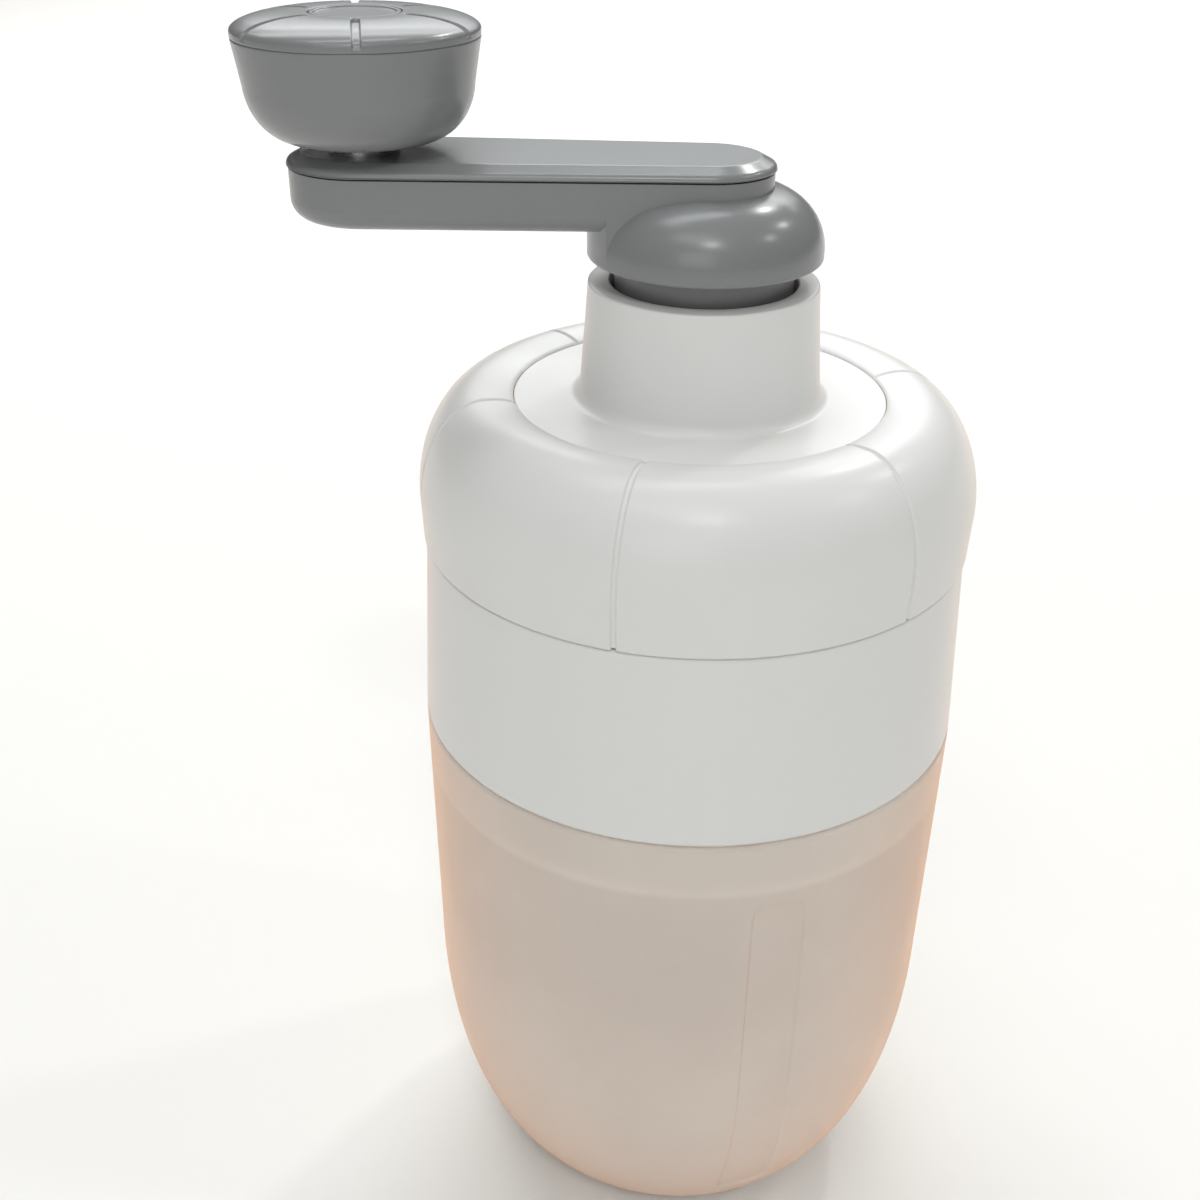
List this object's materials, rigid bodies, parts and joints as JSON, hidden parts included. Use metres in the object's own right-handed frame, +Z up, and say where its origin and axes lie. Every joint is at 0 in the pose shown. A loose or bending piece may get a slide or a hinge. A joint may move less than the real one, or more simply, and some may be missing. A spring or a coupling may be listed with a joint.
{
  "type": "hand-cranked ice shaver",
  "caption": "Hand-cranked ice shaver: frosted cup, white casing and domed cover, tower with a side crank and grooved knob, sprung spiked pusher over a fixed blade.",
  "frame": {"origin": "centre of the cup's foot ring, in the plane it stands on", "axes": "+Z up along the crank shaft, -X from the shaft to the knob's axle with the crank at rest, -Y towards the front"},
  "size_m": [0.1211, 0.0964, 0.2215],
  "materials": {
    "frosted_plastic": "translucent, frosted, moulded polypropylene",
    "white_plastic": "satin moulded white",
    "grey_plastic": "satin moulded dark grey",
    "acetal": "smooth natural acetal",
    "steel": "plain stainless steel"
  },
  "bodies": {
    "cup": {"cup": "frosted_plastic"},
    "chamber": {"casing": "white_plastic", "ice_chamber": "white_plastic", "chamber_screws": "steel", "blade": "steel", "blade_clamp": "steel", "blade_screws": "steel"},
    "lid": {"cover_shell": "white_plastic", "neck_tower": "white_plastic", "tower_screws": "steel", "shaft_bush": "acetal"},
    "crank": {"arm_shell": "grey_plastic", "arm_cover": "grey_plastic", "hub_washer": "steel", "hub_screw": "steel", "drive_shaft": "steel", "thrust_washer": "acetal", "shaft_clip": "steel", "spring_seat": "acetal", "stop_washer": "steel", "stop_screw": "steel", "knob_axle": "steel", "knob_washer": "steel", "knob_screw": "steel"},
    "knob": {"knob_bowl": "grey_plastic", "knob_cap": "grey_plastic", "knob_inlay": "grey_plastic"},
    "pusher": {"pusher_disc": "grey_plastic", "pusher_spikes": "steel", "pusher_spring": "steel"}
  },
  "joints": [
    {"name": "body_lift", "type": "slide", "parent": "cup", "child": "chamber", "axis": [0, 0, 1], "range_m": [0, 0.04]},
    {"name": "lid_lift", "type": "slide", "parent": "chamber", "child": "lid", "axis": [0, 0, 1], "range_m": [0, 0.05]},
    {"name": "crank_turn", "type": "hinge", "parent": "lid", "child": "crank", "pos_m": [0, 0, 0.18], "axis": [0, 0, 1], "continuous": true},
    {"name": "knob_spin", "type": "hinge", "parent": "crank", "child": "knob", "pos_m": [-0.054, 0, 0.203], "axis": [0, 0, 1], "continuous": true},
    {"name": "pusher_slide", "type": "slide", "parent": "crank", "child": "pusher", "axis": [0, 0, 1], "range_m": [0, 0.026], "stiffness_N_per_m": 150, "springref_m": -0.02, "deforming": ["pusher_spring"]}
  ]
}
